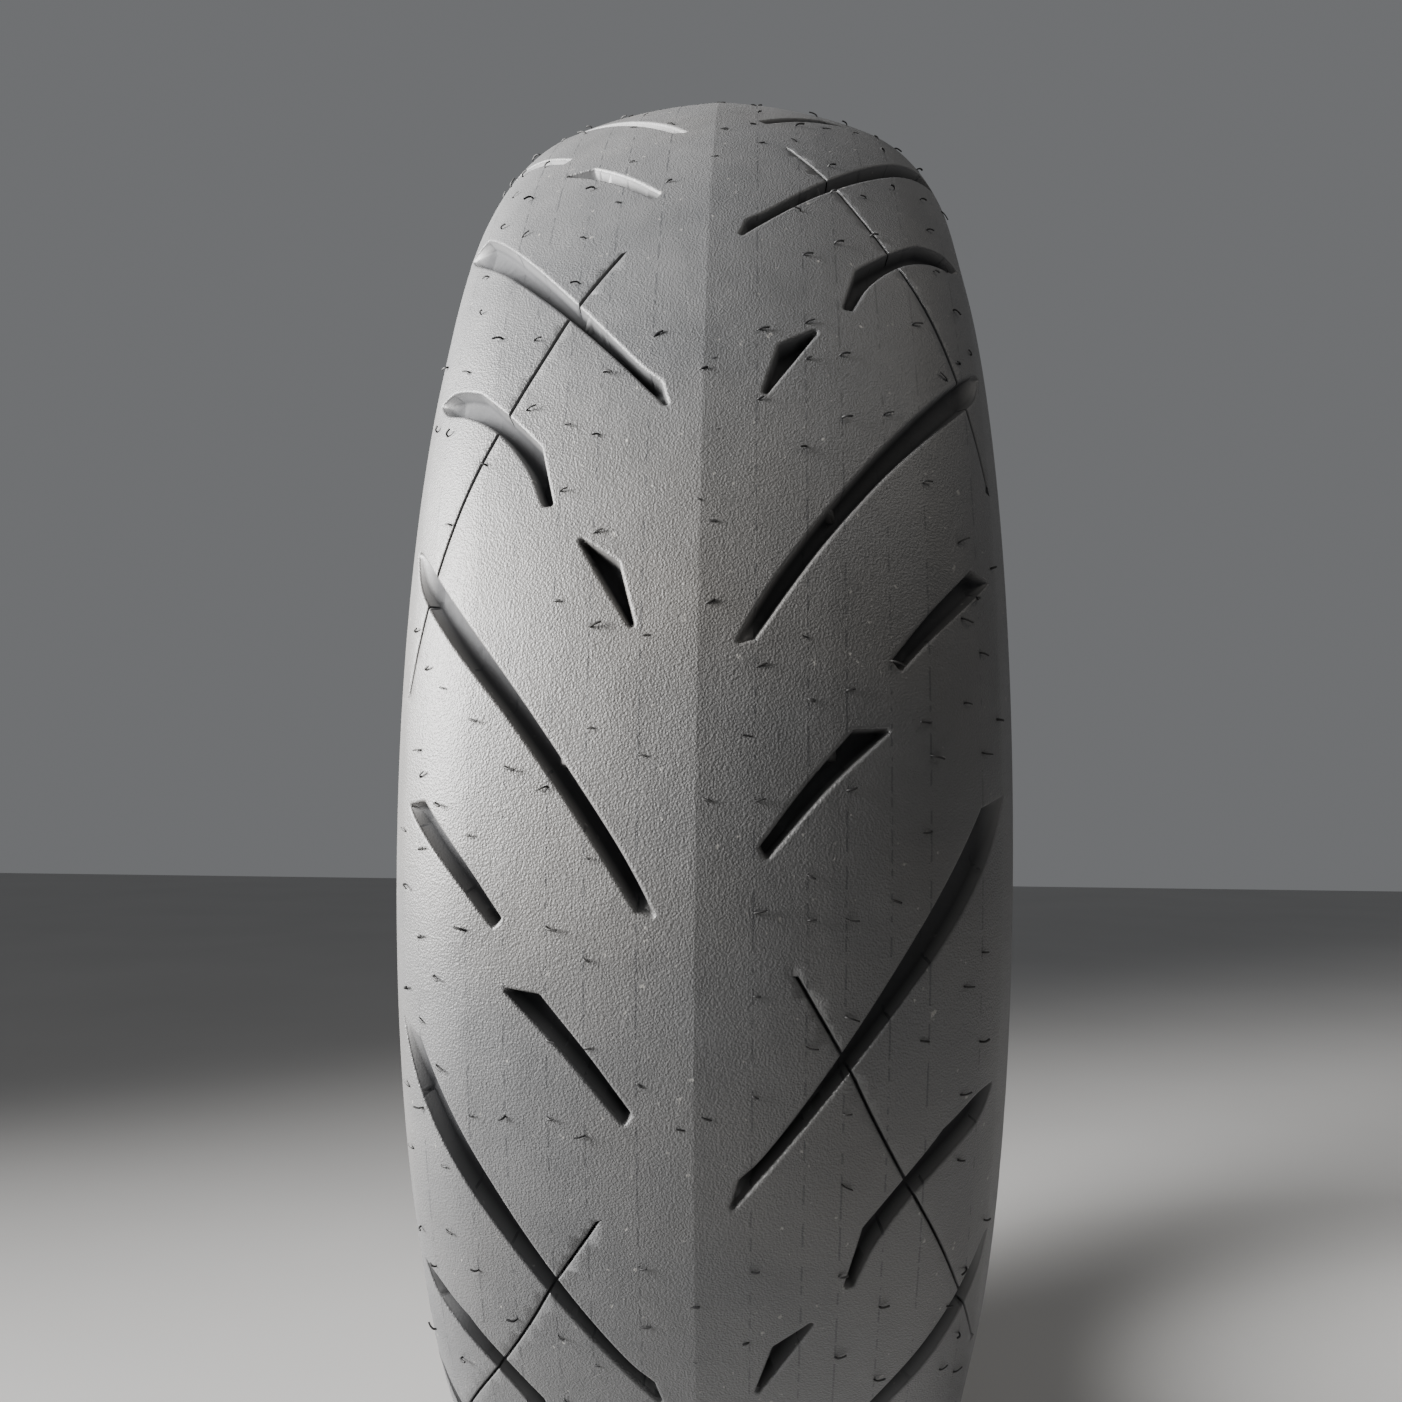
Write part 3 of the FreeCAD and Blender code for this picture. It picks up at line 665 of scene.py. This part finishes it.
def finish_shader(graph, shader, colour, sheen=None, height=None):
    """Feed the Wires of colour, and of roughness and bump height in metres if given, to a shader."""
    links = graph.tree.links
    links.new(colour.socket, shader.inputs["Base Color"])
    if height is not None:
        bump = graph.add("ShaderNodeBump", None, {"Strength": 1.0, "Distance": 1.0, "Height": height})
        links.new(bump.socket, shader.inputs["Normal"])
    if sheen is not None:
        links.new(sheen.socket, shader.inputs["Roughness"])


def rubber(name, dark, light, grain_size, grain_height, roughness, marked=False):
    """Moulded rubber. marked is for the tread, whose mesh says where its grooves and mould lines are."""
    material, graph, shader = principled(name, {"IOR": 1.5, "Specular IOR Level": 0.5 if marked else 0.2})
    place = graph.object_place()
    patches = graph.noise(place, 9.0, 3.0)
    streaks = graph.noise(place, 60.0, 4.0, 0.6)
    dust = graph.noise(place, 900.0)
    cells = graph.add("ShaderNodeTexVoronoi", {"feature": "SMOOTH_F1"},
                      {"Vector": place, "Scale": 1.0 / grain_size, "Smoothness": 0.6}, "Distance")
    shade = graph.fade(patches * 0.6 + streaks * 0.4, 0.35, 0.65)
    colour = graph.mix(shade, (*dark, 1), (*light, 1))
    brown = graph.fade(graph.noise(place, 5.0, 4.0, 0.6), 0.5, 0.75, 0.25)
    colour = graph.mix(brown, colour, (light[0] * 1.25, light[1] * 1.08, light[2] * 0.85, 1))
    fleck = graph.fade(graph.noise(place, 420.0, 1.0), 0.74, 0.80, 0.5)
    colour = graph.mix(fleck, colour, PALE_FLECK if marked else DULL_FLECK)
    bump = cells * 1.4 + graph.noise(place, 1.3 / grain_size, 3.0, 0.6)
    sheen = dust * 0.10 + streaks * 0.08 + (roughness - 0.09)
    if marked:
        groove = graph.add("ShaderNodeAttribute", {"attribute_name": "groove"}, None, "Fac")
        mould = graph.add("ShaderNodeAttribute", {"attribute_name": "mould_line"}, None, "Fac")
        inside = graph.fade(groove, 0.02, 0.12)
        deep = graph.fade(groove, 0.15, 0.8)
        bump = bump * (1 - 0.85 * inside)
        dashes = (mould > 0.4) * (graph.noise(place, 260.0, 1.0) > 0.5)
        # Painted shade: deep in a groove or sipe the colour goes nearly black, where shade would fall. The
        # dashed mould lines mixed in here are the rubber's own dark marks.
        painted_groove_shade_and_dash = (dark[0] * 0.2, dark[1] * 0.21, dark[2] * 0.24, 1)
        colour = graph.mix(deep * 0.9 + dashes * 0.55, colour, painted_groove_shade_and_dash)
        sheen = sheen + 0.35 * deep
    swell = graph.noise(place, 35.0) * (grain_height * 6)
    finish_shader(graph, shader, colour, sheen, bump * grain_height + swell)
    return material


TREAD_GRAIN = (0.6 * MM, 0.11 * MM)
# Painted light: the tread and shoulder greys are set lighter than cured rubber is. They stand in for the
# bright raking light and sheen on the tread.
tread_rubber = rubber("tread rubber", (0.060, 0.061, 0.063), (0.085, 0.085, 0.086),
                      *TREAD_GRAIN, 0.5, marked=True)
shoulder_rubber = rubber("shoulder rubber", (0.058, 0.059, 0.061), (0.082, 0.082, 0.083),
                         *TREAD_GRAIN, 0.48, marked=True)
# Painted shade: the sidewall rubber is set far darker than the tread rubber, to hold down the strong key
# light that falls on the tire's side.
side_rubber_painted_darker = rubber("sidewall rubber", (0.012, 0.012, 0.013), (0.019, 0.019, 0.019),
                     0.5 * MM, 0.008 * MM, 0.45)

# %% The three tread pieces
SHARP = math.radians(62.0)


def finish_piece(piece, *nodes, slot):
    """Smooth shading with crisp edges, a ride on the one body, and the nodes it stands for."""
    piece.data.shade_smooth()
    piece.data.set_sharp_from_angle(angle=SHARP)
    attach(piece, "root")
    if nodes:
        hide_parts(*nodes)
    return piece


for node, mesh in segments.items():
    finish = tread_rubber if node == "tread_cap_centre" else shoulder_rubber
    piece = grown("moulded_" + node, mesh, REPEAT_TREE, REPEAT_INPUTS,
                  {"Count": REPEATS, "Material": finish})
    slot_name = "tread_centre_rubber" if node == "tread_cap_centre" else "tread_shoulder_rubber"
    finish_piece(piece, node, slot=slot_name)
    print(piece.name, len(piece.data.polygons), "triangles")

# %% [markdown]
# ## Vent hairs
#
# Air leaves the mould through pin holes, and rubber follows it. Each hole leaves a thin hair that is
# bent over when the tire is packed. The holes lie on the moulded circles. Geometry Nodes put one bent
# tube on each spot, stood on the surface, leaning sideways and a little different each time.

# %% Where the hairs grow
HAIR_SEED = 7
HAIR_STEP = math.radians(4.6)
HAIR_RADIUS = 0.3 * MM
HAIR_SHARE, LEAN_BACK_SHARE = 0.62, 0.3
HAIR_SHIFT, HAIR_SCATTER = 0.37, 0.16
HAIR_TO_GROOVE, HAIR_TO_SIPE = 0.8, 1.0
HAIR_ROOT, HAIR_TAPER = 0.1, 0.45
HAIR_CIRCLES = (1.4, 14.5, 28.0, 38.0, 50.0, 61.0, 72.0, 79.0, 87.0)


def hair_spots():
    """(positions, normals, sideways directions) of the vent hairs, none of them in a groove."""
    rng = np.random.default_rng(HAIR_SEED)
    spots = []
    for side in (1, -1):
        for i, circle in enumerate(HAIR_CIRCLES):
            turns = np.arange(0, 2 * math.pi, HAIR_STEP) + HAIR_STEP * (HAIR_SHIFT * i % 1)
            turns = turns + rng.normal(0, HAIR_SCATTER * HAIR_STEP, len(turns))
            spots.append(np.column_stack([np.full(len(turns), side * circle), turns * CROWN_RADIUS]))
    spots = np.vstack(spots)
    spots = spots[rng.random(len(spots)) < HAIR_SHARE]
    groove, sipe = distances(np.column_stack([spots[:, 0], (spots[:, 1] - LEFT_START) % PERIOD]))
    spots = spots[(groove > HAIR_TO_GROOVE) & (sipe > HAIR_TO_SIPE)]
    s, t = spots.T
    base, above, beside = on_tire(s, t, -HAIR_ROOT), on_tire(s, t, 10.0), on_tire(s + 0.5, t)
    out = above - base
    sideways = beside - on_tire(s, t)
    return base, *(v / np.linalg.norm(v, axis=1)[:, None] for v in (out, sideways))


def hair_tree():
    """A tree that stands a bent tapering tube on every point. Returns the tree and its identifiers."""
    tree = bpy.data.node_groups.new("vent hairs", "GeometryNodeTree")
    names = {
        "Geometry": input_socket(tree, "Geometry", "NodeSocketGeometry"),
        "Radius": input_socket(tree, "Radius", "NodeSocketFloat", HAIR_RADIUS),
        "Seed": input_socket(tree, "Seed", "NodeSocketInt", HAIR_SEED),
        "Material": input_socket(tree, "Material", "NodeSocketMaterial"),
    }
    tree.interface.new_socket(name="Geometry", in_out="OUTPUT", socket_type="NodeSocketGeometry")
    graph = Graph(tree)
    source = tree.nodes.new("NodeGroupInput")
    spots, radius, seed, finish = (Wire(graph, source.outputs[i]) for i in range(4))
    bend = graph.add("GeometryNodeCurveQuadraticBezier", None, {
        "Resolution": 6, "Start": (0, 0, 0),
        "Middle": (0.1 * MM, 0, 1.5 * MM), "End": (2.6 * MM, 0, 1.3 * MM)})
    along = graph.add("GeometryNodeSplineParameter", None, None, "Factor")
    tapered = graph.add("GeometryNodeSetCurveRadius", None, {"Curve": bend, "Radius": 1 - HAIR_TAPER * along})
    ring = graph.add("GeometryNodeCurvePrimitiveCircle", {"mode": "RADIUS"},
                     {"Resolution": 6, "Radius": radius})
    tube = graph.add("GeometryNodeCurveToMesh", None,
                     {"Curve": tapered, "Profile Curve": ring, "Fill Caps": True})

    def random(low, high, offset):
        return graph.add("FunctionNodeRandomValue", {"data_type": "FLOAT"},
                         {2: low, 3: high, "Seed": seed + offset}, 1)

    def attribute(name):
        return graph.add("GeometryNodeInputNamedAttribute", {"data_type": "FLOAT_VECTOR"}, {"Name": name})

    stood = graph.add("FunctionNodeAlignRotationToVector", {"axis": "Z"}, {"Vector": attribute("out")})
    faced = graph.add("FunctionNodeAlignRotationToVector", {"axis": "X", "pivot_axis": "Z"},
                      {"Rotation": stood, "Vector": attribute("sideways")})
    swing = graph.add("ShaderNodeCombineXYZ", None, {"X": random(-0.35, 0.35, 2), "Z": random(-0.5, 0.5, 1)})
    turned = graph.add("FunctionNodeRotateRotation", {"rotation_space": "LOCAL"}, {
        "Rotation": faced, "Rotate By": graph.add("FunctionNodeEulerToRotation", None, {0: swing})})
    size = graph.add("ShaderNodeCombineXYZ", None, {
        "X": random(0.6, 1.4, 3), "Y": random(0.8, 1.2, 4), "Z": random(0.5, 1.2, 5)})
    hairs = graph.add("GeometryNodeInstanceOnPoints", None,
                      {"Points": spots, "Instance": tube, "Rotation": turned, "Scale": size})
    real = graph.add("GeometryNodeRealizeInstances", None, {0: hairs})
    done = graph.add("GeometryNodeSetMaterial", None, {"Geometry": real, "Material": finish})
    graph.add("NodeGroupOutput", None, {0: done})
    return tree, names


hair_base, hair_out, hair_side = hair_spots()
lean_back = np.random.default_rng(HAIR_SEED + 1).random(len(hair_base)) < LEAN_BACK_SHARE
hair_side = np.where(lean_back[:, None], -hair_side, hair_side)
spots_mesh = bpy.data.meshes.new("vent hair spots")
spots_mesh.from_pydata(hair_base.tolist(), [], [])
for label, vectors in (("out", hair_out), ("sideways", hair_side)):
    layer = spots_mesh.attributes.new(label, "FLOAT_VECTOR", "POINT")
    layer.data.foreach_set("vector", vectors.astype(np.float32).ravel())

hair_rubber = rubber("vent hair rubber", (0.008, 0.008, 0.009), (0.018, 0.018, 0.018),
                     0.3 * MM, 0.004 * MM, 0.5)
hair_nodes, hair_inputs = hair_tree()
hairs = grown("vent_hairs", spots_mesh, hair_nodes, hair_inputs,
              {"Radius": HAIR_RADIUS, "Seed": HAIR_SEED, "Material": hair_rubber})
finish_piece(hairs, slot="tread_shoulder_rubber")
print(len(hair_base), "hairs,", len(hairs.data.polygons), "faces")

# %% [markdown]
# ## The layers that come from the frame
#
# Under the tread lie a belt and plies: thin rubber sheets full of parallel cords. A bead is a bundle
# of plated steel wires in a hard rubber wrap, and plain rubber of several kinds fills the rest. These
# pieces keep their CAD shapes, which fit face to face. Solid cords would cost a great many faces, so a
# sine wave across each sheet draws them in colour and in bump, and every kind of layer has a finish.

# %% Finishes for the inner layers
SHEET_RADIUS = 0.3


def cord_sheet(name, rubber_colour, cord_colour, pitch, across_spin):
    """A rubber-coated cord sheet: fine parallel cords showing through a thin skin."""
    material, graph, shader = principled(name, {"IOR": 1.5})
    place = graph.object_place()
    split = graph.tree.nodes.new("ShaderNodeSeparateXYZ")
    graph.tree.links.new(place.socket, split.inputs[0])
    x, y, z = (Wire(graph, split.outputs[i]) for i in range(3))
    run = graph.math("ARCTAN2", z, x) * SHEET_RADIUS if across_spin else y
    wave = graph.math("SINE", run * (2 * math.pi / pitch))
    ridge = graph.fade(wave, -1.0, 1.0)
    grain = graph.noise(place, 700.0, 3.0)
    colour = graph.mix(ridge * 0.5 + grain * 0.3, (*rubber_colour, 1), (*cord_colour, 1))
    finish_shader(graph, shader, colour, grain * 0.2 + 0.5, ridge * (0.1 * MM))
    return material


def wire_steel(name):
    """Bronze-plated bead wire, drawn along its length."""
    material, graph, shader = principled(name, {"Metallic": 1.0})
    place = graph.object_place()
    scratches, stain = graph.noise(place, 1500.0, 4.0), graph.noise(place, 60.0, 3.0)
    colour = graph.mix(stain, (0.55, 0.40, 0.22, 1), (0.72, 0.62, 0.45, 1))
    finish_shader(graph, shader, colour, scratches * 0.25 + 0.2)
    return material


BLACK = (0.012, 0.012, 0.012)
# Painted shade: the cushion rubber is set darker, like the sidewall, against the strong key light on the
# tire's side.
cushion_rubber = rubber("cushion rubber", BLACK, (0.02, 0.02, 0.02), 0.6 * MM, 0.01 * MM, 0.45)
liner_rubber = rubber("liner rubber", BLACK, (0.02, 0.02, 0.021), 2.2 * MM, 0.05 * MM, 0.4)
# Painted shade: the filler rubber is also set darker against the strong key light on the tire's side.
hard_rubber = rubber("filler rubber", (0.025, 0.025, 0.026), (0.035, 0.035, 0.035),
                     0.4 * MM, 0.01 * MM, 0.6)
FINISHES = {
    "tread_base": hard_rubber,
    "spiral_belt": cord_sheet("belt strip", BLACK, (0.25, 0.22, 0.17), 1.0 * MM, False),
    "breaker_ply": cord_sheet("breaker ply", BLACK, (0.32, 0.25, 0.10), 1.2 * MM, True),
    "carcass_ply_outer": cord_sheet("outer carcass ply", BLACK, (0.16, 0.14, 0.11), 1.1 * MM, True),
    "carcass_ply_inner": cord_sheet("inner carcass ply", BLACK, (0.14, 0.12, 0.10), 1.1 * MM, True),
    "inner_liner": liner_rubber,
    "sidewall": side_rubber_painted_darker,
    "rim_cushion": cushion_rubber,
    "bead_filler": hard_rubber,
    "chafer": cord_sheet("chafer weave", BLACK, (0.10, 0.09, 0.08), 0.8 * MM, True),
    "bead_wrap": hard_rubber,
    "bead_wires": wire_steel("bead wire"),
}


def finish_for(node):
    """The finish of a CAD node: its own, or that of its left and right pair."""
    return FINISHES.get(node) or FINISHES.get(node.rsplit("_", 1)[0])


for name, node in frame["nodes"].items():
    finish = finish_for(name)
    if finish:
        node.data.materials.clear()
        node.data.materials.append(finish)
print(len(FINISHES), "finishes on", len(frame["nodes"]), "nodes")

# %% [markdown]
# ## Floor, light and camera
#
# A pale floor under the tire, one large soft light on the tire's right that rakes across the tread, a
# weak warm light above its left, and a dim even surround. The camera is close, so the crown looks wide
# and the tread falls away above and below.

# %% Stage
FLOOR_HALF = 4.0
FLOOR_DARK, FLOOR_LIGHT = (0.38, 0.375, 0.37, 1), (0.44, 0.435, 0.43, 1)


def stage_floor():
    """A wide pale floor that the tire stands on."""
    half, z = FLOOR_HALF, -CROWN_RADIUS * MM
    mesh = bpy.data.meshes.new("floor")
    corners = [(-half, -half, z), (half, -half, z), (half, half, z), (-half, half, z)]
    mesh.from_pydata(corners, [], [(0, 1, 2, 3)])
    floor = bpy.data.objects.new("floor", mesh)
    bpy.context.scene.collection.objects.link(floor)
    material, graph, shader = principled("pale floor", {"Roughness": 0.7})
    place = graph.object_place()
    mottle = graph.noise(place, 3.0, 4.0)
    finish_shader(graph, shader, graph.mix(mottle, FLOOR_DARK, FLOOR_LIGHT))
    mesh.materials.append(material)


def area_light(name, place, target, size, power, colour, spread):
    """A soft light that points at a target, its beam held to that many degrees."""
    light = bpy.data.lights.new(name, "AREA")
    light.shape, light.size, light.size_y = "RECTANGLE", *size
    light.energy, light.color = power, colour
    light.spread = math.radians(spread)
    lamp = bpy.data.objects.new(name, light)
    bpy.context.scene.collection.objects.link(lamp)
    lamp.location = place
    lamp.rotation_euler = (Vector(target) - Vector(place)).to_track_quat("-Z", "Y").to_euler()


def surround(strength):
    """An even, nearly white surround."""
    world = bpy.data.worlds.new("studio")
    world.use_nodes = True
    background = world.node_tree.nodes["Background"]
    background.inputs["Color"].default_value = (0.9, 0.92, 0.95, 1)
    background.inputs["Strength"].default_value = strength
    bpy.context.scene.world = world


def stand_camera(place, yaw, pitch, roll, lens):
    """A camera that looks back along -X, turned by yaw and pitch, then rolled."""
    look = Vector((-math.cos(yaw) * math.cos(pitch), math.sin(yaw) * math.cos(pitch), math.sin(pitch)))
    right = Vector((math.sin(yaw), math.cos(yaw), 0.0))
    up = right.cross(look)
    side = math.cos(roll) * right + math.sin(roll) * up
    top = math.cos(roll) * up - math.sin(roll) * right
    camera = bpy.data.objects.new("camera", bpy.data.cameras.new("camera"))
    camera.data.lens, camera.data.clip_start = lens, 0.01
    camera.matrix_world = Matrix.Translation(place) @ Matrix((side, top, -look)).transposed().to_4x4()
    bpy.context.scene.collection.objects.link(camera)
    bpy.context.scene.camera = camera


stage_floor()
area_light("key light", place=(0.45, -1.5, 0.6), target=(0.2, 0.0, 0.32), size=(1.0, 1.2),
           power=58.0, colour=(1.0, 0.99, 0.975), spread=64)
area_light("top light", place=(0.6, 0.9, 1.3), target=(0.15, 0.0, 0.15), size=(0.9, 0.9),
           power=1.7, colour=(1.0, 0.95, 0.88), spread=90)
surround(strength=0.18)
stand_camera(place=(0.6165, 0.01273, 0.0), yaw=-0.0387, pitch=0.0801, roll=0.0106, lens=31.17)
